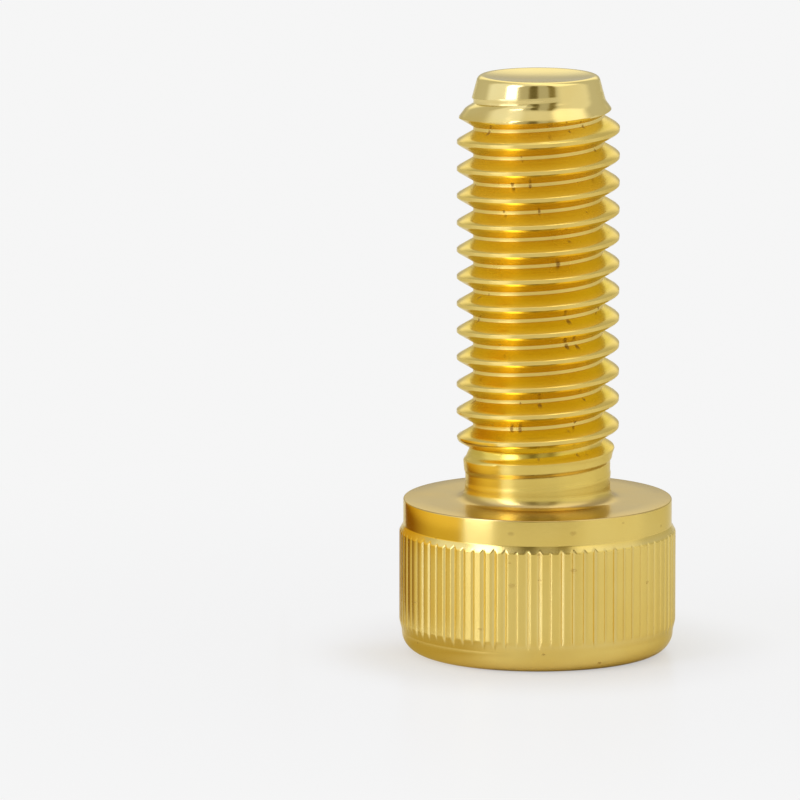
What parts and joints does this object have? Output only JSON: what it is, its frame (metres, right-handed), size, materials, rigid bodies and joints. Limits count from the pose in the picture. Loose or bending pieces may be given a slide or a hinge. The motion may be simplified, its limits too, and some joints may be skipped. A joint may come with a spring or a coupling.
{
  "type": "socket head cap screw",
  "caption": "Cap screw with a straight-knurled cylindrical head, a plain collar, a hexagonal socket in the head's top and a right-hand thread with a long tapered tip.",
  "frame": {"origin": "centre of the head's top face, on the surface that the screw stands on", "axes": "+Z along the shank from the head's top face to the tip, so the socket opens towards -Z; +X through a corner of the hexagonal socket"},
  "size_m": [0.0102, 0.0102, 0.0214],
  "materials": {
    "gold_plate": "polished"
  },
  "bodies": {
    "root": {"screw": "gold_plate"}
  },
  "joints": []
}
